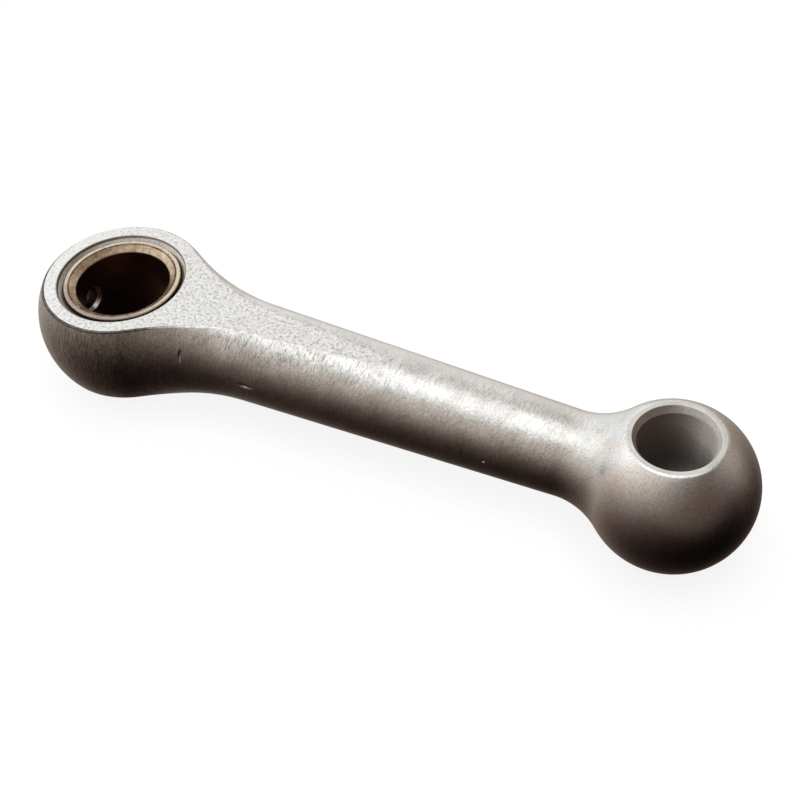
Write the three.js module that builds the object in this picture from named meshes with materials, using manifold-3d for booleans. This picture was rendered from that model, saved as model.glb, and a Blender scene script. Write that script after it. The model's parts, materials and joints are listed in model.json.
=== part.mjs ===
// Connecting rod of a small model engine: a turned aluminium rod body with a
// bronze bush pressed into its big end.
// Millimetres, +Z up. The origin is the centre of the big-end bore, both bores
// run along Z, and the small end lies on +X.

import * as THREE from 'three';
import { mergeVertices } from 'three/addons/utils/BufferGeometryUtils.js';
import Module from 'manifold-3d';

// ---- driving dimensions (mm) ----

const CENTRES = 34.0; // distance between the two bores

const BIG_END_R = 5.38; // ball form of the big end, about the origin
const BIG_END_HALF = 2.69; // half its thickness, flat to flat
const SMALL_END_R = 4.55; // ball form of the small end
const SMALL_END_HALF = 3.76;

const SHANK_X1 = 6.8; // two stations that set the shank's taper
const SHANK_R1 = 2.97;
const SHANK_X2 = 28.9;
const SHANK_R2 = 2.39;
const BIG_FILLET_R = 13.7; // blends the big end into the shank
const SMALL_FILLET_R = 4.05; // blends the shank into the small end

const BUSH_BORE_R = 2.77; // runs on a 5.5 mm crank pin
const BUSH_OUTER_R = 3.45;
const BUSH_RECESS = 0.12; // the bush's ends lie this far below the flats
const BUSH_BEVEL = 0.33; // bevel in its upper mouth, which clears the root of the crank pin
const BUSH_BEVEL_DEPTH = 0.31;
const PRESS_GAP = 0.01; // radial gap that keeps the pressed pair apart as solids

const SEAT_MOUTH_R = 3.81; // bevel at the seat, which leaves a groove round the bush
const SEAT_MOUTH_DEPTH = 0.37;

const PIN_BORE_R = 2.01; // runs on a 4 mm gudgeon pin
const PIN_MOUTH_R = 2.24;
const PIN_MOUTH_DEPTH = 0.37;

const OIL_HOLE_R = 0.65; // radial hole through the eye and the bush, at the outer end

const FLATS_SPLIT_X = 23.8; // the shank is slimmer here than either pair of flats

// ---- fineness of the facets ----

const ROD_SIDES = 56; // round the rod's own axis
const BORE_SIDES = 56; // round each bore
const OIL_HOLE_SIDES = 20;
const ARC_STEP = THREE.MathUtils.degToRad(7.5); // along the rod's outline

const CLEAR = 1.0; // how far a cutter runs past what it cuts

const RIGHT_ANGLE = Math.PI / 2;

const wasm = await Module();
wasm.setup();

// ---- materials ----

function material(name, color, roughness) {
  return new THREE.MeshStandardMaterial({ name, color, roughness, metalness: 1.0 });
}

const aluminium = material('aluminium', 0xc9c4bc, 0.45);
const bronze = material('bronze', 0xb08a5e, 0.38);

// ---- solids ----

function toSolid(geometry) {
  const bare = geometry.clone();
  bare.deleteAttribute('normal');
  bare.deleteAttribute('uv');
  const merged = mergeVertices(bare);
  const index = merged.getIndex().array;
  const corners = [];
  for (let i = 0; i < index.length; i += 3) {
    const [a, b, c] = index.subarray(i, i + 3);
    // A lathe's rows collapse to a point on its axis.
    if (a !== b && b !== c && c !== a) corners.push(a, b, c);
  }
  const mesh = new wasm.Mesh({
    numProp: 3,
    vertProperties: new Float32Array(merged.getAttribute('position').array),
    triVerts: new Uint32Array(corners),
  });
  return new wasm.Manifold(mesh);
}

function toGeometry(solid) {
  const mesh = solid.getMesh();
  const geometry = new THREE.BufferGeometry();
  geometry.setAttribute('position', new THREE.BufferAttribute(mesh.vertProperties, 3));
  geometry.setIndex(new THREE.BufferAttribute(mesh.triVerts, 1));
  geometry.computeVertexNormals();
  return geometry;
}

// A profile of (radius, height) points turned about Z.
function turnedAboutZ(profile, sides) {
  const points = profile.map(([radius, height]) => new THREE.Vector2(radius, height));
  return toSolid(new THREE.LatheGeometry(points, sides).rotateX(RIGHT_ANGLE));
}

// ---- the rod's outline: (radius, x) points from the big end to the small end ----

const taper = (SHANK_R2 - SHANK_R1) / (SHANK_X2 - SHANK_X1);
const slant = Math.hypot(1, taper);

function shankRadius(x) {
  return SHANK_R1 + taper * (x - SHANK_X1);
}

// The fillet that touches both the ball of radius ballR about x = ballX and the
// shank. side is +1 where the shank leaves the ball towards +X, and -1 where it
// arrives from -X.
function fillet(ballX, ballR, filletR, side) {
  const lift = shankRadius(0) + filletR * slant;
  const reach = ballR + filletR;
  const a = 1 + taper * taper;
  const b = 2 * (taper * lift - ballX);
  const c = ballX * ballX + lift * lift - reach * reach;
  const x = (-b + side * Math.sqrt(b * b - 4 * a * c)) / (2 * a);
  const radius = lift + taper * x;
  return {
    centre: new THREE.Vector2(radius, x),
    radius: filletR,
    onBall: Math.atan2(ballX - x, -radius),
    onShank: Math.atan2(taper, -1),
  };
}

// Points on an arc in the (radius, x) plane, the short way round.
function arc(centre, radius, from, to) {
  const sweep = Math.atan2(Math.sin(to - from), Math.cos(to - from));
  const steps = Math.max(2, Math.ceil(Math.abs(sweep) / ARC_STEP));
  const points = [];
  for (let i = 0; i <= steps; i += 1) {
    const angle = from + (sweep * i) / steps;
    const outward = new THREE.Vector2(Math.cos(angle), Math.sin(angle));
    points.push(outward.multiplyScalar(radius).add(centre));
  }
  return points;
}

function rodOutline() {
  const bigBall = new THREE.Vector2(0, 0);
  const smallBall = new THREE.Vector2(0, CENTRES);
  const first = fillet(0, BIG_END_R, BIG_FILLET_R, 1);
  const last = fillet(CENTRES, SMALL_END_R, SMALL_FILLET_R, -1);
  const bigJoin = first.centre.angle();
  const smallJoin = last.centre.clone().sub(smallBall).angle();
  const points = [
    ...arc(bigBall, BIG_END_R, -RIGHT_ANGLE, bigJoin),
    ...arc(first.centre, first.radius, first.onBall, first.onShank).slice(1),
    ...arc(last.centre, last.radius, last.onShank, last.onBall),
    ...arc(smallBall, SMALL_END_R, smallJoin, RIGHT_ANGLE).slice(1),
  ];
  points[0].x = 0;
  points[points.length - 1].x = 0;
  return points;
}

function turnedBlank() {
  const lathe = new THREE.LatheGeometry(rodOutline(), ROD_SIDES);
  return toSolid(lathe.rotateZ(-RIGHT_ANGLE));
}

// ---- cutters ----

// Everything on one side of a milled flat, over the span from x0 to x1.
function overFlat(x0, x1, half, side) {
  const height = BIG_END_R + CLEAR;
  const width = 2 * (BIG_END_R + CLEAR);
  const box = new THREE.BoxGeometry(x1 - x0, width, height);
  return toSolid(box.translate((x0 + x1) / 2, 0, side * (half + height / 2)));
}

// A bore along Z with a bevelled mouth at each flat.
function boreCutter(x, boreR, mouthR, mouthDepth, half) {
  const top = half + CLEAR;
  const profile = [
    [0, -top],
    [mouthR, -top],
    [mouthR, -half],
    [boreR, mouthDepth - half],
    [boreR, half - mouthDepth],
    [mouthR, half],
    [mouthR, top],
    [0, top],
  ];
  return turnedAboutZ(profile, BORE_SIDES).translate([x, 0, 0]);
}

// From inside the big-end bore out through the end of the eye, along -X.
function oilHoleCutter() {
  const length = BIG_END_R + CLEAR;
  const hole = new THREE.CylinderGeometry(OIL_HOLE_R, OIL_HOLE_R, length, OIL_HOLE_SIDES);
  return toSolid(hole.rotateZ(RIGHT_ANGLE).translate(-length / 2 - CLEAR, 0, 0));
}

// ---- sub-parts ----

function rodBody() {
  const before = -BIG_END_R - CLEAR;
  const beyond = CENTRES + SMALL_END_R + CLEAR;
  let solid = turnedBlank();
  for (const side of [1, -1]) {
    solid = solid.subtract(overFlat(before, FLATS_SPLIT_X, BIG_END_HALF, side));
    solid = solid.subtract(overFlat(FLATS_SPLIT_X, beyond, SMALL_END_HALF, side));
  }
  const seatR = BUSH_OUTER_R + PRESS_GAP;
  const seat = boreCutter(0, seatR, SEAT_MOUTH_R, SEAT_MOUTH_DEPTH, BIG_END_HALF);
  const pinBore = boreCutter(CENTRES, PIN_BORE_R, PIN_MOUTH_R, PIN_MOUTH_DEPTH, SMALL_END_HALF);
  return solid.subtract(seat).subtract(pinBore).subtract(oilHoleCutter());
}

function bigEndBush() {
  const half = BIG_END_HALF - BUSH_RECESS;
  const ring = turnedAboutZ(
    [
      [BUSH_OUTER_R, -half],
      [BUSH_OUTER_R, half],
      [BUSH_BORE_R + BUSH_BEVEL, half],
      [BUSH_BORE_R, half - BUSH_BEVEL_DEPTH],
      [BUSH_BORE_R, -half],
      [BUSH_OUTER_R, -half],
    ],
    BORE_SIDES,
  );
  return ring.subtract(oilHoleCutter());
}

function namedMesh(name, solid, finish) {
  const mesh = new THREE.Mesh(toGeometry(solid), finish);
  mesh.name = name;
  return mesh;
}

const connectingRod = new THREE.Group();
connectingRod.add(namedMesh('rod_body', rodBody(), aluminium));
connectingRod.add(namedMesh('big_end_bush', bigEndBush(), bronze));

export default connectingRod;
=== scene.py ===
"""Looks of a small engine's connecting rod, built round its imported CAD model.

The rod and the bronze bush of its big end are made again as fine, closed meshes. The rod is turned
about the X axis, so most of it is a grid of stations along X and of angles round X. Its flats, bores
and oil hole are patches that meet that grid point for point. Lengths are in millimetres until a mesh
is made.
"""

import json
import math

import bmesh
import bpy
import numpy as np
from mathutils import Matrix, Vector, geometry


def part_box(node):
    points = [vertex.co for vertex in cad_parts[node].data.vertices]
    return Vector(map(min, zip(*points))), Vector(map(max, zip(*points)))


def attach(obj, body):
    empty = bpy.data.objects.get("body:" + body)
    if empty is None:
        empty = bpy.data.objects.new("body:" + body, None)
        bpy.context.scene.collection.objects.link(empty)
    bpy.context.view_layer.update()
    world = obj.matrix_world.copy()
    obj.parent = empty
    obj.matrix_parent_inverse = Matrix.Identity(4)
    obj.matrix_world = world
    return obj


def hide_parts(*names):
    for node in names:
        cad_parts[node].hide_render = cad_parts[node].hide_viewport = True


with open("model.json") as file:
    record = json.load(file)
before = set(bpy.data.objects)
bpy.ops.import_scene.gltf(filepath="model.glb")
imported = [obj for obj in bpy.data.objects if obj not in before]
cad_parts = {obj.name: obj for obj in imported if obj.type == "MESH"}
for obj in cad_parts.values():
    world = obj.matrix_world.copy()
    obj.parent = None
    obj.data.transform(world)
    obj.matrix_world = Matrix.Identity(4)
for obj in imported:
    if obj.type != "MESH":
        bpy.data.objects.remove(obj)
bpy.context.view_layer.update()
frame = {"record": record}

MM = 0.001

# ---- sizes that the CAD model gives ----

rod_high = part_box("rod_body")[1] / MM
bush_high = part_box("big_end_bush")[1] / MM
mounts = {mount["name"]: mount for mount in frame["record"]["mounts"]}

SMALL_END_R = 4.55
CENTRES = rod_high.x - SMALL_END_R
BIG_END_R = rod_high.y
SMALL_END_HALF = rod_high.z
BIG_END_HALF = mounts["big_end_upper_face"]["pos_m"][2] / MM
BUSH_OUTER_R = bush_high.x
BUSH_HALF = bush_high.z
BUSH_BORE_R = mounts["crank_pin"]["dims"]["r_mm"]

# ---- sizes that repeat the CAD model's named dimensions ----

SHANK_X1, SHANK_R1 = 6.8, 2.97
SHANK_X2, SHANK_R2 = 28.9, 2.39
BIG_FILLET_R = 13.7
SMALL_FILLET_R = 4.05
BUSH_BEVEL_DEPTH = 0.31
SEAT_R = BUSH_OUTER_R + 0.01
SEAT_MOUTH_R, SEAT_MOUTH_DEPTH = 3.81, 0.37
PIN_BORE_R = 2.01
PIN_MOUTH_R, PIN_MOUTH_DEPTH = 2.24, 0.37
OIL_HOLE_R = 0.65

# ---- fine shape that only the looks have ----

EDGE = 0.11  # rounding of the flats' outlines
SKIRT = 0.33  # height of the strip between the turned grid and a flat
SEAT_LIP, SEAT_LIP_DEPTH = 0.03, 0.13  # steep start of the bevel at the bush's seat
BUSH_EDGE = 0.03  # bevel outside the bush's end faces
GROOVE_R, GROOVE_WIDTH, GROOVE_DEPTH = 3.17, 0.1, 0.04  # turned line on the bush's upper face
OIL_MOUTH_EDGE = 0.1
OIL_BEVEL, OIL_BEVEL_DEPTH = 0.13, 0.22  # bevel where the oil hole enters the bush's bore

# ---- fineness ----

SIDE_STEPS = 48  # from the rod's lower middle line to its upper one
PATCH = 2 * SIDE_STEPS // 4  # rows and columns of the square patch round the oil hole
BORE_STEPS = 240  # round the big end's bore
PATCH_HALF_ANGLE = math.pi * PATCH / BORE_STEPS
PATCH_HALF_HEIGHT = 1.0
HOLE_ROWS = 6  # from the patch's edge to the oil hole, and along the hole's wall
RIM_STEPS = 60  # round half of a ball
RIB_STEPS = 3
CORNER_STEPS = 4

TURNED, FLAT, RIM, SEAT, RING, PIN_MOUTH, PIN_BORE, OIL_HOLE = range(8)  # the rod's finishes
FACE, OUTER, RUNNING, BUSH_OIL_HOLE, BUSH_OIL_BEVEL = range(5)  # the bush's finishes
UP = np.array([0.0, 0.0, 1.0])


# ---- a closed surface that is gathered from patches ----

class Surface:
    """Points and normals, the faces between them, and the finish of each face."""

    def __init__(self):
        self.points = []
        self.normals = []
        self.faces = []
        self.parts = []

    def add(self, points, normals, faces, part):
        """Adds faces, each wound so that it looks along its corners' normals."""
        corners, facing = points[faces], normals[faces].sum(axis=1)
        along = np.cross(corners[:, 2] - corners[:, 0], corners[:, -1] - corners[:, 1])
        backward = (along * facing).sum(axis=1) < 0
        faces = np.where(backward[:, None], faces[:, ::-1], faces) + len(self.points)
        self.points.extend(points.tolist())
        self.normals.extend(normals.tolist())
        self.faces.extend(faces.tolist())
        self.parts.extend([part] * len(faces))

    def grid(self, points, normals, part):
        """Adds a patch of rows and columns, given as arrays of shape (rows, columns, 3)."""
        rows, columns = points.shape[:2]
        first = (np.arange(rows - 1)[:, None] * columns + np.arange(columns - 1)).ravel()
        faces = np.stack([first, first + 1, first + columns + 1, first + columns], axis=1)
        self.add(points.reshape(-1, 3), normals.reshape(-1, 3), faces, part)

    def to_object(self, name, materials):
        mesh = bpy.data.meshes.new(name)
        mesh.from_pydata((np.array(self.points) * MM).tolist(), [], self.faces)
        for material in materials:
            mesh.materials.append(material)
        mesh.polygons.foreach_set("material_index", self.parts)
        mesh.polygons.foreach_set("use_smooth", [True] * len(self.faces))
        corner_normals = [self.normals[i] for face in self.faces for i in face]
        kept = mesh.attributes.new("corner_normal", "FLOAT_VECTOR", "CORNER")
        kept.data.foreach_set("vector", np.array(corner_normals, np.float32).ravel())
        weld(mesh)
        welded = np.zeros(len(mesh.loops) * 3, np.float32)
        mesh.attributes["corner_normal"].data.foreach_get("vector", welded)
        mesh.attributes.remove(mesh.attributes["corner_normal"])
        mesh.normals_split_custom_set(welded.reshape(-1, 3).tolist())
        made = bpy.data.objects.new(name, mesh)
        bpy.context.scene.collection.objects.link(made)
        return made


def weld(mesh):
    """Joins the patches where their borders meet."""
    work = bmesh.new()
    work.from_mesh(mesh)
    bmesh.ops.remove_doubles(work, verts=work.verts, dist=1e-4 * MM)
    open_edges = sum(not edge.is_manifold for edge in work.edges)
    if open_edges:
        print(mesh.name, "isn't closed at edges:", open_edges)
    work.to_mesh(mesh)
    work.free()


# ---- lines in a plane, and what is turned from them ----

def unit(vectors):
    return vectors / np.linalg.norm(vectors, axis=-1, keepdims=True)


def bend(start, corner, end, t):
    """A curve from start to end that leaves and arrives along the sides of a corner."""
    return (1 - t) ** 2 * start + 2 * t * (1 - t) * corner + t * t * end


def rounded(*corners):
    """A line through corners (radius, height, reach of the rounding), with its right-hand normals."""
    places = np.array([corner[:2] for corner in corners], float)
    ahead = unit(np.diff(places, axis=0))
    right = np.stack([ahead[:, 1], -ahead[:, 0]], axis=1)
    points, normals = [places[0]], [right[0]]
    for i in range(1, len(places) - 1):
        reach = corners[i][2]
        start, end = places[i] - ahead[i - 1] * reach, places[i] + ahead[i] * reach
        for t in np.linspace(0, 1, CORNER_STEPS + 1):
            points.append(bend(start, places[i], end, t))
            normals.append((1 - t) * right[i - 1] + t * right[i])
    points.append(places[-1])
    normals.append(right[-1])
    return np.array(points), unit(np.array(normals))


def turned_z(line, angles, level=1, centre_x=0.0):
    """Turns a line and its normals about the vertical at centre_x. Angle 0 is towards -X."""
    swept = []
    for flat, offset in zip(line, (centre_x, 0.0)):
        across, height = flat[:, :1], level * flat[:, 1:] + 0 * angles
        swept.append(np.stack([offset - across * np.cos(angles), across * np.sin(angles), height], -1))
    return swept


def turned_x(x, radius, along, away, angles, side=1):
    """Points and normals round the X axis. Angle 0 is towards +Y, or -Y where side is -1."""
    cos, sin = np.cos(angles), np.sin(angles)
    points = np.stack([x + 0 * angles, side * radius * cos, radius * sin], -1)
    normals = np.stack([along + 0 * angles, side * away * cos, away * sin], -1)
    return points, normals


# ---- the rod's turned outline ----

TAPER = (SHANK_R2 - SHANK_R1) / (SHANK_X2 - SHANK_X1)
SLANT = math.hypot(1, TAPER)


def shank_radius(x):
    return SHANK_R1 + TAPER * (x - SHANK_X1)


def fillet(ball_x, ball_r, fillet_r, side):
    """Centre of the fillet that touches a ball and the shank, and x where it touches each."""
    lift = shank_radius(0) + fillet_r * SLANT
    reach = ball_r + fillet_r
    a = SLANT * SLANT
    b = 2 * (TAPER * lift - ball_x)
    c = ball_x * ball_x + lift * lift - reach * reach
    x = (-b + side * math.sqrt(b * b - 4 * a * c)) / (2 * a)
    on_ball = ball_x + (x - ball_x) * ball_r / reach
    on_shank = x + TAPER * fillet_r / SLANT
    return (x, lift + TAPER * x), on_ball, on_shank


BIG_FILLET, BIG_BALL_END, SHANK_START = fillet(0, BIG_END_R, BIG_FILLET_R, 1)
SMALL_FILLET, SMALL_BALL_START, SHANK_END = fillet(CENTRES, SMALL_END_R, SMALL_FILLET_R, -1)
FLAT_TIP = SHANK_X1 + (BIG_END_HALF - SHANK_R1) / TAPER  # where the big end's flats run out


def outline(x):
    """The outline's radius at each x, and its outward normal along X and away from X."""
    x = np.asarray(x, float)
    radius = shank_radius(x)
    along = np.full_like(x, -TAPER / SLANT)
    away = np.full_like(x, 1 / SLANT)
    for chosen, centre, size in (
        (x <= BIG_BALL_END, 0, BIG_END_R),
        (x >= SMALL_BALL_START, CENTRES, SMALL_END_R),
    ):
        radius[chosen] = np.sqrt(np.maximum(size**2 - (x[chosen] - centre) ** 2, 0))
        along[chosen] = (x[chosen] - centre) / size
        away[chosen] = radius[chosen] / size
    for chosen, centre, size in (
        ((x > BIG_BALL_END) & (x < SHANK_START), BIG_FILLET, BIG_FILLET_R),
        ((x > SHANK_END) & (x < SMALL_BALL_START), SMALL_FILLET, SMALL_FILLET_R),
    ):
        drop = np.sqrt(size**2 - (x[chosen] - centre[0]) ** 2)
        radius[chosen] = centre[1] - drop
        along[chosen] = (centre[0] - x[chosen]) / size
        away[chosen] = drop / size
    return radius, along, away


# Each ball's grid stops below its flats, at a circle round Z.
BIG_CUT = BIG_END_R * math.sin(math.asin(BIG_END_HALF / BIG_END_R) - SKIRT / BIG_END_R)
BIG_CUT_R = math.sqrt(BIG_END_R**2 - BIG_CUT**2)
SMALL_CUT_R = CENTRES - SMALL_BALL_START
SMALL_CUT = math.sqrt(SMALL_END_R**2 - SMALL_CUT_R**2)


def half_width(x):
    """Half the width of the big end's flats."""
    return np.sqrt(np.maximum(outline(x)[0] ** 2 - BIG_END_HALF**2, 0))


def flat_stations():
    """Stations from the big end's middle, which is left out, to the tip of its flats."""
    ball = np.linspace(0, BIG_BALL_END, 12)[1:]
    neck = np.linspace(BIG_BALL_END, SHANK_START, 30)[1:]
    shank = FLAT_TIP + (SHANK_START - FLAT_TIP) * np.linspace(1, 0, 60)[1:] ** 2
    return np.concatenate([ball, neck, shank])


def stations():
    mouth = math.asin((OIL_HOLE_R + OIL_MOUTH_EDGE) / BIG_END_R)
    return np.concatenate(
        [
            -BIG_END_R * np.cos(np.linspace(mouth, math.asin(BIG_CUT / BIG_END_R), 12))[:-1],
            -BIG_CUT_R * np.cos(np.linspace(0, math.pi / 2, RIM_STEPS // 2 + 1)),
            flat_stations(),
            np.linspace(FLAT_TIP, SHANK_END, 44)[1:],
            np.linspace(SHANK_END, SMALL_BALL_START, 20)[1:-1],
            CENTRES - SMALL_CUT_R * np.cos(np.linspace(0, math.pi, RIM_STEPS + 1)),
            CENTRES + SMALL_END_R * np.cos(np.linspace(math.asin(SMALL_CUT / SMALL_END_R), 0, 30))[1:],
        ]
    )


def top_angle(x):
    """Angle round X at which the turned grid stops below a flat."""
    radius = outline(x)[0]
    angle = np.full_like(x, math.pi / 2)
    eye = (x > -BIG_CUT_R) & (x < 1e-9)
    angle[eye] = np.arcsin(np.minimum(BIG_CUT / radius[eye], 1))
    neck = (x > 1e-9) & (x < FLAT_TIP)
    corner = np.arcsin(np.minimum(BIG_END_HALF / radius[neck], 1))
    angle[neck] = corner - np.minimum(SKIRT, half_width(x[neck])) / radius[neck]
    cap = np.abs(x - CENTRES) < SMALL_CUT_R
    angle[cap] = np.arcsin(np.minimum(SMALL_CUT / radius[cap], 1))
    return angle


# ---- the rod's patches ----

def add_turned_sides(surface):
    x = stations()[:, None]
    radius, along, away = outline(x)
    angles = top_angle(x[:, 0])[:, None] * np.linspace(-1, 1, SIDE_STEPS + 1)
    for side in (1, -1):
        surface.grid(*turned_x(x, radius, along, away, angles, side), TURNED)


def ribs(radius, half, skirt, edge, along=0.0, away=1.0):
    """Lines from the turned grid up over a flat's edge, each in its own upright plane.

    The arguments have one row for each rib. Points are (out, height), normals (along X, out, height).
    """
    corner = np.arcsin(np.minimum(half / radius, 1))
    rise = corner - (skirt + (edge - skirt) * np.linspace(0, 1, RIB_STEPS + 1)) / radius
    arc = radius[..., None] * np.stack([np.cos(rise), np.sin(rise)], -1)
    arc_normals = np.stack([along + 0 * rise, away * np.cos(rise), away * np.sin(rise)], -1)
    tip = radius * np.concatenate([np.cos(corner), np.sin(corner)], -1)
    end = tip - edge * np.array([1.0, 0.0])
    t = np.linspace(0, 1, CORNER_STEPS + 1)[1:, None]
    edge_points = bend(arc[:, -1:], tip[:, None], end[:, None], t)
    edge_normals = unit((1 - t) * arc_normals[:, -1:] + t * UP)
    return np.concatenate([arc, edge_points], 1), np.concatenate([arc_normals, edge_normals], 1)


def place_ribs(lines, centre_x, direction, side, level):
    """Stands each rib at its centre, along its direction as seen from above."""
    points, normals = lines
    ahead, across = direction[:, :1], side * direction[:, 1:]
    out = points[..., 0]
    return (
        np.stack([centre_x + out * ahead, out * across, level * points[..., 1]], -1),
        np.stack(
            [
                normals[..., 0] + normals[..., 1] * ahead,
                normals[..., 1] * across,
                level * normals[..., 2],
            ],
            -1,
        ),
    )


def big_ribs():
    """The ribs of one half of a big flat, from the rod's end to the flat's tip."""
    turn = np.linspace(0, math.pi / 2, RIM_STEPS // 2 + 1)[:, None]
    x = flat_stations()[:, None]
    radius, along, away = outline(x)
    join = lambda round_eye, straight: np.concatenate([round_eye + 0 * turn, straight + 0 * x])
    lines = ribs(
        join(BIG_END_R, radius),
        BIG_END_HALF,
        join(SKIRT, np.minimum(SKIRT, half_width(x))),
        join(EDGE, np.minimum(EDGE, 0.3 * half_width(x))),
        join(0, along),
        join(1, away),
    )
    direction = np.concatenate([join(-np.cos(turn), 0), join(np.sin(turn), 1)], 1)
    return lines, join(0, x), direction


def add_holed_flat(surface, rim, hole, level):
    """A flat between its outline and a round hole, both given as rings of points."""
    outlines = [[Vector(point[:2]) for point in ring] for ring in (rim, hole)]
    first = len(rim)
    loop = lambda start, count: [(start + i, start + (i + 1) % count) for i in range(count)]
    edges = loop(0, first) + loop(first, len(hole))
    places, _, faces, *_ = geometry.delaunay_2d_cdt(outlines[0] + outlines[1], edges, [], 1, 1e-7)
    places = np.array(places)
    points = np.column_stack([places, np.full(len(places), rim[0][2])])
    normals = np.zeros_like(points) + level * UP
    faces = np.array(faces)
    middle = places[faces].mean(axis=1)
    inside = np.hypot(middle[:, 0], middle[:, 1]) < np.hypot(*hole[0][:2]) * 0.9999
    surface.add(points, normals, faces[~inside], FLAT)


def add_big_flats(surface):
    lines, centre_x, direction = big_ribs()
    around = np.linspace(0, 2 * math.pi, BORE_STEPS + 1)
    mouth = rounded(
        (SEAT_MOUTH_R + 0.03, BIG_END_HALF, 0),
        (SEAT_MOUTH_R, BIG_END_HALF, 0.015),
        (SEAT_MOUTH_R - SEAT_LIP, BIG_END_HALF - SEAT_LIP_DEPTH, 0.04),
        (SEAT_R, BIG_END_HALF - SEAT_MOUTH_DEPTH, 0.04),
        (SEAT_R, PATCH_HALF_HEIGHT, 0),
    )
    for level in (1, -1):
        rims = []
        for side in (1, -1):
            points, normals = place_ribs(lines, centre_x, direction, side, level)
            surface.grid(points[:, : RIB_STEPS + 1], normals[:, : RIB_STEPS + 1], TURNED)
            surface.grid(points[:, RIB_STEPS:], normals[:, RIB_STEPS:], RIM)
            rims.append(points[:, -1])
        bore_points, bore_normals = turned_z(mouth, around, level)
        surface.grid(bore_points, bore_normals, SEAT)
        rim = np.concatenate([rims[0], rims[1][-2:0:-1]])
        add_holed_flat(surface, rim, bore_points[0, :-1], level)


def add_small_end(surface):
    """The small end's caps, flat rings and pin bore."""
    turn = np.linspace(0, 2 * math.pi, 2 * RIM_STEPS + 1)
    corner = math.asin(SMALL_END_HALF / SMALL_END_R)
    skirt = corner * SMALL_END_R - math.asin(SMALL_CUT / SMALL_END_R) * SMALL_END_R
    same = lambda value: np.full((len(turn), 1), value)
    lines = ribs(same(SMALL_END_R), SMALL_END_HALF, same(skirt), same(EDGE))
    direction = np.stack([-np.cos(turn), np.sin(turn)], -1)
    rim_r = SMALL_END_R * math.cos(corner) - EDGE
    bore = rounded(
        (rim_r, SMALL_END_HALF, 0),
        (PIN_MOUTH_R, SMALL_END_HALF, 0.03),
        (PIN_BORE_R, SMALL_END_HALF - PIN_MOUTH_DEPTH, 0.09),
        (PIN_BORE_R, 0, 0),
    )
    middle = -2 - CORNER_STEPS // 2  # of the rounding between the bevel and the bore
    for level in (1, -1):
        surface.grid(*place_ribs(lines, CENTRES, direction, 1, level), TURNED)
        points, normals = turned_z(bore, turn, level, CENTRES)
        surface.grid(points[:2], normals[:2], RING)
        surface.grid(points[1 : middle + 1], normals[1 : middle + 1], PIN_MOUTH)
        surface.grid(points[middle:], normals[middle:], PIN_BORE)


def oil_hole_ring():
    """Angles of the points round the oil hole, from -Z by way of +Y."""
    return np.linspace(-math.pi / 2, 1.5 * math.pi, 4 * PATCH + 1)


def hole_ring(radius, hole_r):
    """Angle round Z and height of the points round a hole at -X in a wall of a radius."""
    ring = oil_hole_ring()
    return np.arcsin(hole_r * np.cos(ring) / radius), hole_r * np.sin(ring)


def add_holed_wall(surface, radius, facing, part, hole_r=OIL_HOLE_R):
    """The middle of a wall round Z, with the oil hole at -X. Gives the ring of points round the hole.

    The wall is a square patch round the hole and a grid for the rest. Facing is 1 or -1, out or in.
    """
    rows = np.linspace(-PATCH_HALF_HEIGHT, PATCH_HALF_HEIGHT, PATCH + 1)
    rest = np.linspace(PATCH_HALF_ANGLE, 2 * math.pi - PATCH_HALF_ANGLE, BORE_STEPS - PATCH + 1)
    line = np.stack([0 * rows + radius, rows], -1), np.stack([0 * rows + facing, 0 * rows], -1)
    surface.grid(*turned_z(line, rest), part)

    ring = oil_hole_ring()
    turns = ring / (math.pi / 2)
    quarter = np.floor(turns + 0.5)
    slide = 2 * (turns - quarter)
    quarter = quarter % 4
    square_y = np.select([quarter == 0, quarter == 1, quarter == 2], [1, -slide, -1], slide)
    square_z = np.select([quarter == 0, quarter == 1, quarter == 2], [slide, 1, -slide], -1)
    share = np.linspace(0, 1, HOLE_ROWS + 1)[:, None]
    hole_angle, hole_height = hole_ring(radius, hole_r)
    angle = (1 - share) * PATCH_HALF_ANGLE * square_y + share * hole_angle
    height = (1 - share) * PATCH_HALF_HEIGHT * square_z + share * hole_height
    points = np.stack([-radius * np.cos(angle), radius * np.sin(angle), height], -1)
    normals = facing * np.stack([-np.cos(angle), np.sin(angle), 0 * angle], -1)
    surface.grid(points, normals, part)
    return points[-1]


def add_oil_hole_wall(surface, outer, inner, part, lean=0.0):
    """The oil hole's wall between two rings. Its normals lean towards +X."""
    ring = oil_hole_ring()
    inward = unit(np.stack([0 * ring + lean, -np.cos(ring), -np.sin(ring)], -1))
    share = np.linspace(0, 1, HOLE_ROWS + 1)[:, None, None]
    surface.grid((1 - share) * outer + share * inner, inward + 0 * share, part)


def add_oil_hole_mouth(surface):
    """The rounding where the oil hole leaves the rod's end. Gives its inner ring of points."""
    on_ball = lambda radius: np.array([-math.sqrt(BIG_END_R**2 - radius**2), radius])
    start, corner = on_ball(OIL_HOLE_R + OIL_MOUTH_EDGE), on_ball(OIL_HOLE_R)
    t = np.linspace(0, 1, CORNER_STEPS + 1)[:, None]
    line = bend(start, corner, corner + (OIL_MOUTH_EDGE, 0), t)
    facing = unit((1 - t) * start / BIG_END_R + t * np.array([0, -1]))
    points, normals = turned_x(*np.hsplit(line, 2), *np.hsplit(facing, 2), oil_hole_ring())
    surface.grid(points, normals, OIL_HOLE)
    return points[-1]


def make_rod(materials):
    surface = Surface()
    add_turned_sides(surface)
    add_big_flats(surface)
    add_small_end(surface)
    seat_ring = add_holed_wall(surface, SEAT_R, -1, SEAT)
    mouth_ring = add_oil_hole_mouth(surface)
    add_oil_hole_wall(surface, mouth_ring, seat_ring, OIL_HOLE)
    return surface.to_object("rod", materials)


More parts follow.
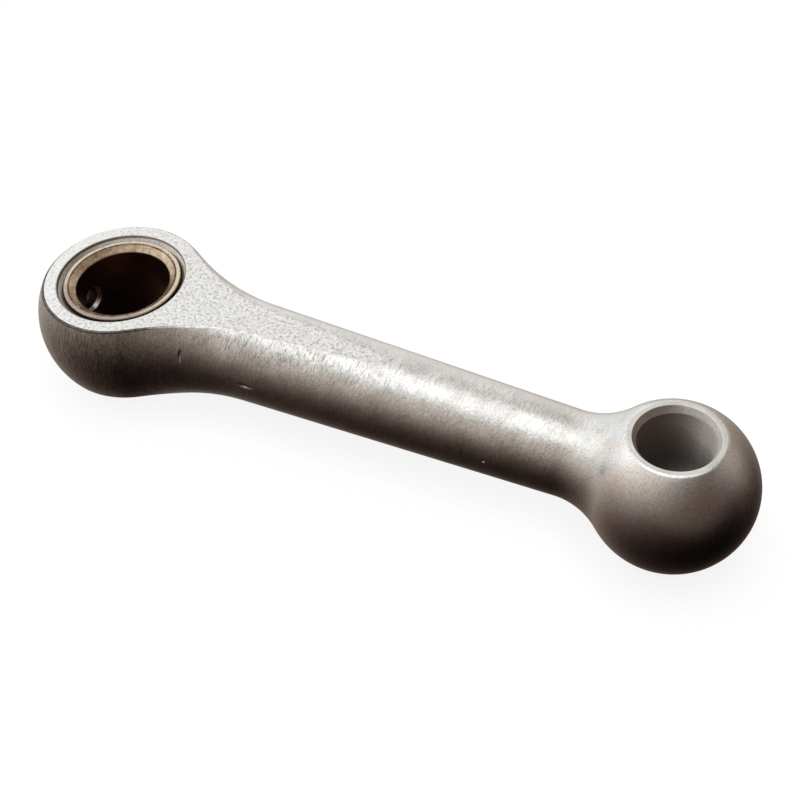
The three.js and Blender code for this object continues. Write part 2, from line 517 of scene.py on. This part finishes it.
def make_bush(materials):
    surface = Surface()
    around = np.linspace(0, 2 * math.pi, BORE_STEPS + 1)
    outside = (
        (BUSH_OUTER_R, PATCH_HALF_HEIGHT, 0),
        (BUSH_OUTER_R, BUSH_HALF - BUSH_EDGE, 0.03),
        (BUSH_OUTER_R - BUSH_EDGE, BUSH_HALF, 0.03),
    )
    upper_end = rounded(
        *outside,
        (GROOVE_R + GROOVE_WIDTH / 2, BUSH_HALF, 0.01),
        (GROOVE_R, BUSH_HALF - GROOVE_DEPTH, 0.015),
        (GROOVE_R - GROOVE_WIDTH / 2, BUSH_HALF - 0.005, 0.01),
        (BUSH_BORE_R, BUSH_HALF - BUSH_BEVEL_DEPTH, 0.04),
        (BUSH_BORE_R, PATCH_HALF_HEIGHT, 0),
    )
    lower_end = rounded(
        *outside,
        (BUSH_BORE_R, BUSH_HALF, 0.02),
        (BUSH_BORE_R, PATCH_HALF_HEIGHT, 0),
    )
    for level, end in ((1, upper_end), (-1, lower_end)):
        points, normals = turned_z(end, around, level)
        surface.grid(points[:2], normals[:2], OUTER)
        surface.grid(points[1:-1], normals[1:-1], FACE)
        surface.grid(points[-2:], normals[-2:], RUNNING)
    outer = add_holed_wall(surface, BUSH_OUTER_R, 1, OUTER)
    inner = add_holed_wall(surface, BUSH_BORE_R, -1, RUNNING, OIL_HOLE_R + OIL_BEVEL)
    neck_r = BUSH_BORE_R + OIL_BEVEL_DEPTH
    angle, height = hole_ring(neck_r, OIL_HOLE_R)
    neck = np.stack([-neck_r * np.cos(angle), neck_r * np.sin(angle), height], -1)
    add_oil_hole_wall(surface, outer, neck, BUSH_OIL_HOLE)
    add_oil_hole_wall(surface, neck, inner, BUSH_OIL_BEVEL, OIL_BEVEL / OIL_BEVEL_DEPTH)
    return surface.to_object("bush", materials)


# ---- materials ----

class Shader:
    """Short ways to add nodes to a node tree. Each gives the new node's output, or ends the tree."""

    def __init__(self, tree):
        self.tree = tree
        tree.nodes.clear()

    def node(self, kind, inputs, output=0, **settings):
        made = self.tree.nodes.new("ShaderNode" + kind)
        for name, value in settings.items():
            setattr(made, name, value)
        for key, value in inputs.items():
            if isinstance(value, bpy.types.NodeSocket):
                self.tree.links.new(value, made.inputs[key])
            else:
                made.inputs[key].default_value = value
        return made.outputs[output]

    def math(self, operation, *values):
        return self.node("Math", dict(enumerate(values)), operation=operation)

    def vector(self, operation, *values, output=0):
        return self.node("VectorMath", dict(enumerate(values)), output, operation=operation)

    def place(self, stretch=(1, 1, 1), centre=(0, 0, 0)):
        """The place on the part in mm, from a centre, with each axis multiplied by its stretch."""
        where = self.node("TexCoord", {}, "Object")
        across = self.vector("SUBTRACT", where, [value * MM for value in centre])
        return self.vector("MULTIPLY", across, [value / MM for value in stretch])

    def axis(self, place, index):
        return self.node("SeparateXYZ", {0: place}, index)

    def across(self, centre_x=0.0):
        """Distance in mm from the vertical at centre_x."""
        return self.vector("LENGTH", self.place((1, 1, 0), (centre_x, 0, 0)), output="Value")

    def noise(self, place, scale, detail=3, roughness=0.6):
        inputs = {"Vector": place, "Scale": scale, "Detail": detail, "Roughness": roughness}
        return self.node("TexNoise", inputs)

    def rings(self, across, per_mm):
        """Noise in rings, which changes only with the distance across."""
        return self.noise(self.node("CombineXYZ", {0: self.math("MULTIPLY", across, per_mm)}), 1, 3)

    def ramp(self, value, *stops):
        """Colours at given values, blended in between."""
        made = self.tree.nodes.new("ShaderNodeValToRGB")
        self.tree.links.new(value, made.inputs[0])
        while len(made.color_ramp.elements) < len(stops):
            made.color_ramp.elements.new(0.5)
        for element, (at, colour) in zip(made.color_ramp.elements, stops):
            element.position = at
            element.color = (*colour, 1)
        return made.outputs["Color"]

    def range(self, value, low, high, to_low=0.0, to_high=1.0):
        """A value moved from one range to another and kept inside it."""
        return self.node("MapRange", {0: value, 1: low, 2: high, 3: to_low, 4: to_high})

    def blend(self, value, under, over):
        """From one colour at 0 to another at 1. Each is a node's output or red, green and blue."""
        is_node = lambda colour: isinstance(colour, bpy.types.NodeSocket)
        under, over = (colour if is_node(colour) else (*colour, 1) for colour in (under, over))
        return self.node("Mix", {0: value, 6: under, 7: over}, 2, data_type="RGBA")

    def bump(self, height, depth, under=None):
        """Normals of a height from 0 to 1, which stands for a depth in mm."""
        inputs = {"Height": height, "Distance": depth * MM, "Strength": 1.0}
        if under:
            inputs["Normal"] = under
        return self.node("Bump", inputs)

    def metal(self, colour, roughness, normal, metallic=1.0):
        inputs = {"Base Color": colour, "Metallic": metallic, "Roughness": roughness, "Normal": normal}
        shader = self.node("BsdfPrincipled", inputs)
        self.output("OutputMaterial", shader)

    def output(self, kind, shader):
        made = self.tree.nodes.new("ShaderNode" + kind)
        self.tree.links.new(shader, made.inputs["Surface"])


def new_material(name):
    material = bpy.data.materials.new(name)
    material.use_nodes = True
    return material, Shader(material.node_tree)


def darker(colour, share):
    return tuple(value * share for value in colour)


WHITE = (1.0, 1.0, 1.0)
SCAR_DEPTH = 0.1
SCARS = (  # place and stretch per mm of small dents in the shank
    ((9.85, -2.87, 0.28), (1.8, 6.5, 6.5)),
    ((24.4, -2.5, 0.18), (8, 8, 8)),
    ((5.82, -3.1, 1.3), (9, 3.5, 2.0)),
)


def scars(shade):
    """How deep each place lies in a scar, from 0 to 1."""
    depth = 0.0
    for centre, stretch in SCARS:
        away = shade.vector("LENGTH", shade.place(stretch, centre), output="Value")
        depth = shade.math("MAXIMUM", depth, shade.range(away, 1.0, 0.0))
    return depth


def turned_aluminium():
    """Satin, with short turning marks round X that fade on the small end's ball."""
    material, shade = new_material("turned aluminium")
    place = shade.place()
    x, y = shade.axis(place, 0), shade.axis(place, 1)
    z = shade.math("ABSOLUTE", shade.axis(place, 2))
    fade = shade.range(x, 27.0, 31.5, 1.0, 0.3)
    streaks = shade.noise(shade.place((10, 1.5, 1.5)), 1, 4, 0.7)
    dashes = shade.noise(shade.place((13, 2.1, 2.1), (4, 0, 0)), 1, 2)
    dimples = shade.noise(shade.place((4.5, 2.6, 2.6)), 1, 3)
    grain = shade.noise(place, 9, 2)
    clouds = shade.noise(place, 0.8, 4)

    # bare metal, whiter on the small end, partly its own tone and partly painted light, and with a
    # patina there
    colour = shade.blend(shade.range(clouds, 0.35, 0.65), (0.76, 0.745, 0.725), (0.99, 0.99, 0.98))
    colour = shade.blend(shade.range(x, 29.0, 33.0, 0, 0.8), colour, WHITE)
    patches = shade.range(shade.noise(place, 0.45, 3), 0.42, 0.58)
    patina = shade.blend(patches, (0.92, 0.74, 0.63), (0.74, 0.85, 0.95))
    colour = shade.blend(shade.range(x, 27.0, 31.0, 0, 0.3), colour, patina)

    # turning marks, strongest on the big end
    brushed = shade.math("MULTIPLY", shade.range(streaks, 0.55, 0.35), fade)
    brushed = shade.math("MULTIPLY", brushed, shade.range(x, 1.0, 5.0, 0.75, 0.2))
    colour = shade.blend(brushed, colour, (0.35, 0.32, 0.3))

    # dark dashes, most of them on the upper and lower sides of the shank's thicker half
    by_length = (shade.range(x, 20.0, 14.0, 0.35, 1.0), shade.range(x, 5.0, 8.5, 0.3, 1.0))
    zone = shade.math("MULTIPLY", shade.math("MULTIPLY", *by_length), fade)
    zone = shade.math("MULTIPLY", zone, shade.range(z, 1.5, 2.3, 0.1, 1.0))
    dark = shade.math("MULTIPLY", shade.range(dashes, 0.46, 0.39), zone)
    colour = shade.blend(shade.math("MULTIPLY", dark, 0.75), colour, (0.26, 0.24, 0.22))

    # specks everywhere, and darker towards the rod's end
    colour = shade.blend(shade.range(grain, 0.52, 0.32, 0, 0.35), colour, (0.32, 0.29, 0.27))
    colour = shade.blend(shade.range(x, 1.5, -3.0, 0, 0.5), colour, (0.33, 0.29, 0.26))

    # a painted highlight: a whiter strip beside the shank's flats, towards +Y
    lit_share = shade.math("MULTIPLY", shade.range(y, 0.3, 1.5, 0, 0.75), shade.range(z, 0.5, 1.5))
    lit_share = shade.math("MULTIPLY", lit_share, shade.range(x, 2.0, 6.0))
    lit_share = shade.math("MULTIPLY", lit_share, shade.range(y, 2.0, 1.4))
    colour = shade.blend(lit_share, colour, WHITE)

    # scars: dark round their rims, and painted white inside as a glint
    scarred = scars(shade)
    colour = shade.blend(shade.range(scarred, 0.0, 0.4, 0, 0.5), colour, (0.15, 0.13, 0.12))
    colour = shade.blend(shade.range(scarred, 0.4, 0.7), colour, WHITE)

    roughness = shade.range(streaks, 0.3, 0.7, 0.19, 0.28)
    brushing = shade.math("MULTIPLY", fade, shade.range(x, 2.0, 7.0, 1.3, 0.35))
    normal = shade.bump(shade.math("MULTIPLY", streaks, brushing), 0.018)
    relief = shade.math("MAXIMUM", shade.range(z, 0.8, 2.0, 0.35, 1.0), shade.range(x, 7.0, 4.0))
    relief = shade.math("MULTIPLY", relief, shade.range(x, 28.0, 32.0, 1.0, 0.2))
    normal = shade.bump(shade.math("MULTIPLY", dimples, relief), 0.024, normal)
    normal = shade.bump(scarred, -SCAR_DEPTH, normal)
    shade.metal(colour, roughness, shade.bump(grain, 0.004, normal))
    return material


def painted_shade_side(shade):
    """Share of painted shade at the bush's seat, from 0 on the small end's side to 1 on the side of
    the rod's end.
    """
    facing = shade.vector("DOT_PRODUCT", shade.place(), (-0.94, -0.2, 0), output="Value")
    return shade.range(facing, -1.2, 2.8)


def blasted_aluminium():
    """Nearly white, with a fine grey grain and painted shade along the edge of the bush's seat."""
    material, shade = new_material("blasted aluminium")
    place = shade.place()
    grain = shade.noise(place, 5.2, 3, 0.75)
    clouds = shade.noise(place, 0.6, 3)
    mottle = shade.noise(place, 2.4, 3)
    colour = shade.blend(shade.range(clouds, 0.3, 0.7), (0.97, 0.97, 0.96), WHITE)
    coarse = shade.range(shade.axis(place, 0), 0.0, -4.0, 1.0, 0.45)
    patches = shade.math("MULTIPLY", shade.range(mottle, 0.52, 0.35, 0, 0.2), coarse)
    colour = shade.blend(patches, colour, (0.5, 0.5, 0.48))
    specks = shade.math("MULTIPLY", shade.range(grain, 0.53, 0.37, 0, 0.8), coarse)
    colour = shade.blend(specks, colour, (0.46, 0.45, 0.43))
    colour = shade.blend(shade.range(grain, 0.38, 0.31, 0, 0.5), colour, (0.24, 0.23, 0.22))
    # painted shade along the edge of the bush's seat, darkest on the side of the rod's end
    across = shade.across()
    edge = shade.range(across, SEAT_MOUTH_R + 0.11, SEAT_MOUTH_R + 0.03, 0, 0.75)
    painted_shading = shade.math("MULTIPLY", edge, painted_shade_side(shade))
    colour = shade.blend(painted_shading, colour, (0.2, 0.19, 0.19))
    shade.metal(colour, 0.4, shade.bump(grain, 0.02))
    return material


def painted_shade_rim():
    """The dark line round the big end's flats, painted shade that fades out towards +Y and along the
    shank.
    """
    material, shade = new_material("painted shade rim")
    place = shade.place()
    x, y = shade.axis(place, 0), shade.axis(place, 1)
    grain = shade.noise(place, 4, 3)
    painted_dark = shade.blend(shade.range(grain, 0.35, 0.65), (0.06, 0.055, 0.05), (0.2, 0.18, 0.17))
    bare = shade.blend(shade.range(grain, 0.35, 0.65), (0.6, 0.59, 0.57), (0.97, 0.97, 0.96))
    # the painted shade fades out along the shank and towards +Y
    shade_fades = shade.math("MAXIMUM", shade.range(x, 3.5, 6.0), shade.range(y, -1.5, 1.5))
    shade.metal(shade.blend(shade_fades, painted_dark, bare), 0.4, shade.bump(grain, 0.01))
    return material


def lapped_aluminium():
    """Bright and smooth, with faint lines round the pin bore."""
    material, shade = new_material("lapped aluminium")
    across = shade.across(CENTRES)
    lines = shade.rings(across, 14)
    clouds = shade.noise(shade.place(), 1.2, 3)
    colour = shade.blend(shade.range(clouds, 0.35, 0.65), (0.8, 0.79, 0.77), (0.98, 0.98, 0.97))
    colour = shade.blend(shade.range(lines, 0.5, 0.35, 0, 0.25), colour, (0.4, 0.38, 0.36))
    shade.metal(colour, 0.34, shade.bump(lines, 0.006))
    return material


def bevelled_aluminium():
    """The bevel at the bush's seat, with painted light and shade at its steep start."""
    material, shade = new_material("bevelled aluminium")
    place = shade.place()
    height = shade.math("ABSOLUTE", shade.axis(place, 2))
    lines = shade.noise(shade.place((1.2, 1.2, 14)), 1, 3)
    grain = shade.noise(place, 7, 2)
    colour = shade.blend(shade.range(lines, 0.3, 0.7), (0.5, 0.48, 0.46), (0.72, 0.7, 0.67))
    colour = shade.blend(shade.range(grain, 0.48, 0.3, 0, 0.5), colour, (0.25, 0.22, 0.2))
    # painted light and shade on the steep start: lit on the small end's side, shaded on the side of
    # the rod's end
    lip = BIG_END_HALF - SEAT_LIP_DEPTH
    painted_shading = shade.blend(painted_shade_side(shade), (0.82, 0.79, 0.76), (0.3, 0.28, 0.27))
    colour = shade.blend(shade.range(height, lip - 0.02, lip + 0.02), colour, painted_shading)
    shade.metal(colour, 0.35, shade.bump(grain, 0.008))
    return material


LIT_SIDE = (0.97, 0.26, 0)  # the side of the pin bore painted bright, standing in for light from -X
LIT_SIDE_FALL = 2.9  # power of the painted light's fall towards the other side
DEPTH_SHADE_TOP, LIT_SIDE_SHADE_TOP = 2.9, 2.0  # height over the bore's middle where the painted shade of its depth starts, on the dark side and on the lit side, in mm
# painted shade that deepens down the bore: its growth per mm and its colour
DEPTH_SHADE_PER_MM = 0.56
DEPTH_SHADE = (0.02, 0.008, 0.004)


def bored_aluminium(name, dark, light, roughness, metallic, bright_from):
    """The pin bore's metal, with fine lines round Z: painted light on its lit side and painted shade
    deeper inside.

    It is fully bright from bright_from on, in mm from the bore's middle towards the lit side.
    """
    material, shade = new_material(name)
    place = shade.place()
    lines = shade.noise(shade.place((1.2, 1.2, 14)), 1, 3)
    grain = shade.noise(place, 8, 2)
    from_middle = shade.place((1, 1, 1), (CENTRES, 0, 0))
    # painted light towards the lit side, and below its top painted shade that grows with depth
    towards_lit_side = shade.vector("DOT_PRODUCT", from_middle, LIT_SIDE, output="Value")
    height = shade.math("ABSOLUTE", shade.axis(place, 2))
    painted_light = shade.math("POWER", shade.range(towards_lit_side, -PIN_BORE_R, bright_from), LIT_SIDE_FALL)
    depth = shade.math("SUBTRACT", height, shade.range(painted_light, 0, 1, DEPTH_SHADE_TOP, LIT_SIDE_SHADE_TOP))
    depth = shade.math("MINIMUM", depth, 0.0)
    lit_share = shade.math("EXPONENT", shade.math("MULTIPLY", depth, DEPTH_SHADE_PER_MM))
    painted_depth_shade = shade.math("SUBTRACT", 1.0, lit_share)
    colour = shade.blend(painted_light, dark, light)
    colour = shade.blend(painted_depth_shade, colour, DEPTH_SHADE)
    colour = shade.blend(shade.range(lines, 0.55, 0.3, 0, 0.15), colour, darker(dark, 0.6))
    colour = shade.blend(shade.range(grain, 0.45, 0.3, 0, 0.35), colour, darker(dark, 0.5))
    normal = shade.bump(grain, 0.005, shade.bump(lines, 0.006))
    shade.metal(colour, roughness, normal, metallic)
    return material


def turned_bronze():
    """Bronze with turned lines and a tarnished groove, greyer outside it and darker towards -Y."""
    material, shade = new_material("turned bronze")
    place = shade.place()
    across = shade.across()
    y = shade.axis(place, 1)
    lines = shade.rings(across, 12)
    clouds = shade.noise(place, 1.8, 5, 0.7)
    grain = shade.noise(place, 5, 3)
    groove = shade.math("ABSOLUTE", shade.math("SUBTRACT", across, GROOVE_R))
    patchy = shade.range(clouds, 0.35, 0.6, 1.0, 0.7)
    tarnish = shade.math("MULTIPLY", shade.range(groove, 0.08, 0.04), patchy)
    colour = shade.blend(shade.range(clouds, 0.38, 0.62), (0.66, 0.45, 0.3), (1.0, 0.9, 0.7))
    rim = shade.blend(shade.range(y, -0.5, -2.6), (0.85, 0.74, 0.6), (0.42, 0.36, 0.34))
    beyond_groove = shade.range(across, GROOVE_R - 0.01, GROOVE_R + 0.07, 0, 0.85)
    colour = shade.blend(beyond_groove, colour, rim)
    colour = shade.blend(shade.range(lines, 0.5, 0.35, 0, 0.3), colour, (0.3, 0.18, 0.1))
    colour = shade.blend(shade.range(grain, 0.5, 0.3, 0, 0.5), colour, (0.25, 0.15, 0.09))
    colour = shade.blend(tarnish, colour, (0.09, 0.04, 0.02))
    normal = shade.bump(grain, 0.01, shade.bump(lines, 0.006))
    shade.metal(colour, 0.33, normal)
    return material


def metal_in_painted_light(name, low, high, roughness=0.35):
    """Metal with lines and grain between two colours, which are painted shade or a painted glint."""
    material, shade = new_material(name)
    place = shade.place()
    lines = shade.noise(shade.place((1.2, 1.2, 12)), 1, 3)
    grain = shade.noise(place, 6, 3)
    colour = shade.blend(shade.range(lines, 0.3, 0.7), low, high)
    colour = shade.blend(shade.range(grain, 0.5, 0.3, 0, 0.6), colour, darker(low, 0.4))
    shade.metal(colour, roughness, shade.bump(grain, 0.01, shade.bump(lines, 0.006)))
    return material


def rod_materials():
    return [
        turned_aluminium(),
        blasted_aluminium(),
        painted_shade_rim(),
        bevelled_aluminium(),
        lapped_aluminium(),
        bored_aluminium("countersunk aluminium", (0.42, 0.37, 0.33), (1.0, 1.0, 0.98), 0.4, 0.4, 0.3),
        bored_aluminium("bored aluminium", (0.17, 0.12, 0.1), (1.0, 0.97, 0.92), 0.5, 0.0, 1.25),
        # the oil hole's darkness is painted shade
        metal_in_painted_light("aluminium oil hole in painted shade", (0.2, 0.17, 0.15), (0.35, 0.31, 0.28)),
    ]


def bush_materials():
    return [
        turned_bronze(),
        # the outer wall in the seat, the bore and the oil hole are painted dark as shade; the oil
        # hole's bevel is whitened as a painted glint
        metal_in_painted_light("bronze outside in painted shade", (0.06, 0.035, 0.025), (0.12, 0.07, 0.05)),
        metal_in_painted_light("bronze bore in painted shade", (0.2, 0.11, 0.08), (0.3, 0.18, 0.13)),
        metal_in_painted_light("bronze oil hole in painted shade", (0.1, 0.06, 0.05), (0.22, 0.15, 0.11)),
        metal_in_painted_light("bronze oil bevel with painted glint", (0.95, 0.9, 0.84), (1.0, 0.98, 0.95), 0.3),
    ]


# ---- light, floor and camera ----

# Each light fades with the cosine of the angle from its middle, and is about half as bright where
# that is its edge. An edge above 1 gives a light that fades from its very middle.
LIGHTS = (  # azimuth from -Y towards +X, elevation, edge, softness, brightness in the middle
    (-59, 48, 2.0, 0.269, 0.656),
    (46, 41, 0.600, 0.080, 0.061),
    (-132, 11, 0.735, 0.211, 0.888),
    (132, 23, 2.0, 0.115, 0.298),
    (-83, 36, 1.5, 0.030, 0.299),
    (-134, 87, 0.898, 0.030, 0.825),
)

LIGHT_TINTS = (  # the dimmer, the warmer
    (0.0, (1.38, 0.88, 0.74)),
    (0.14, (1.19, 0.98, 0.83)),
    (0.5, (1.085, 0.99, 0.9)),
    (0.75, (1.02, 1.0, 0.965)),
    (0.9, (1.0, 1.0, 0.985)),
)

FLOOR_R, BACKDROP_R = 1.4, 1.5  # in metres
GLOW_UNDER_PART = 0.88  # share of the paint's glow that is left where the part touches it, as painted contact shadow

CAMERA_EYE = (46.532, -47.863, 57.950)
CAMERA_TARGET = (18.25, -0.12, 0)
CAMERA_ROLL = -5.21  # in degrees, clockwise as seen from behind the camera
CAMERA_LENS, CAMERA_SENSOR = 64.96, 36


def towards(azimuth, elevation):
    """The direction from the part to a light."""
    across, up = math.radians(azimuth), math.radians(elevation)
    return math.sin(across) * math.cos(up), -math.cos(across) * math.cos(up), math.sin(up)


def light_studio():
    """Soft light from all round, by direction alone."""
    world = bpy.data.worlds.new("soft studio light")
    world.use_nodes = True
    bpy.context.scene.world = world
    shade = Shader(world.node_tree)
    where = shade.node("TexCoord", {}, "Generated")
    total = 0.0
    for azimuth, elevation, edge, softness, bright in LIGHTS:
        facing = shade.vector("DOT_PRODUCT", where, towards(azimuth, elevation), output="Value")
        away = shade.math("MULTIPLY_ADD", facing, -1 / softness, edge / softness)
        fall = shade.math("ADD", shade.math("EXPONENT", away), 1.0)
        full = bright * (1 + math.exp((edge - 1) / softness))
        total = shade.math("ADD", total, shade.math("DIVIDE", full, fall))
    tint = shade.ramp(total, *LIGHT_TINTS)
    light = shade.node("Background", {"Color": tint, "Strength": total})
    shade.output("OutputWorld", light)


def plain_paint(name, grey, glow):
    """Pale paint with a glow that dims a little under the part, as painted shadow."""
    material, shade = new_material(name)
    open_air = shade.node("AmbientOcclusion", {"Distance": 2.5 * MM}, "AO")
    inputs = {
        "Base Color": (grey, grey, grey, 1),
        "Roughness": 0.9,
        "Specular IOR Level": 0.0,
        "Emission Color": (1, 1, 1, 1),
        "Emission Strength": shade.range(open_air, 0, 1, GLOW_UNDER_PART * glow, glow),
    }
    shade.output("OutputMaterial", shade.node("BsdfPrincipled", inputs))
    return material


def stage_object(name, fill, material):
    """An object of the stage, from a function that fills its mesh. The metal doesn't reflect it."""
    mesh = bpy.data.meshes.new(name)
    work = bmesh.new()
    fill(work)
    work.to_mesh(mesh)
    work.free()
    mesh.materials.append(material)
    made = bpy.data.objects.new(name, mesh)
    bpy.context.scene.collection.objects.link(made)
    made.visible_glossy = False
    return made


def set_stage():
    """A round floor under the part and a ball of backdrop round both."""
    floor = stage_object(
        "floor",
        lambda work: bmesh.ops.create_circle(work, cap_ends=True, segments=96, radius=FLOOR_R),
        plain_paint("pale floor", 0.08, 0.96),
    )
    floor.location.z = -SMALL_END_HALF * MM
    backdrop = stage_object(
        "backdrop",
        lambda work: bmesh.ops.create_uvsphere(
            work, u_segments=48, v_segments=24, radius=BACKDROP_R
        ),
        plain_paint("pale backdrop", 0.9, 0.93),
    )
    backdrop.visible_diffuse = False
    backdrop.visible_shadow = False


def set_camera():
    """The camera looks down on the rod from -Y, from beyond the small end."""
    camera = bpy.data.cameras.new("camera")
    camera.sensor_width = CAMERA_SENSOR
    camera.lens = CAMERA_LENS
    camera.clip_start = 0.001
    camera.clip_end = 10
    made = bpy.data.objects.new("camera", camera)
    bpy.context.scene.collection.objects.link(made)
    eye, target = Vector(CAMERA_EYE) * MM, Vector(CAMERA_TARGET) * MM
    aim = (target - eye).to_track_quat("-Z", "Y").to_matrix().to_4x4()
    roll = Matrix.Rotation(math.radians(CAMERA_ROLL), 4, "Z")
    made.matrix_world = Matrix.Translation(eye) @ aim @ roll
    bpy.context.scene.camera = made


# ---- the scene ----

rod = make_rod(rod_materials())
bush = make_bush(bush_materials())
for piece, node, slot in (
    (rod, "rod_body", "rod_aluminium"),
    (bush, "big_end_bush", "bush_bronze"),
):
    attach(piece, "root")
    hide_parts(node)

light_studio()
set_stage()
set_camera()
bpy.context.scene.view_settings.view_transform = "Standard"
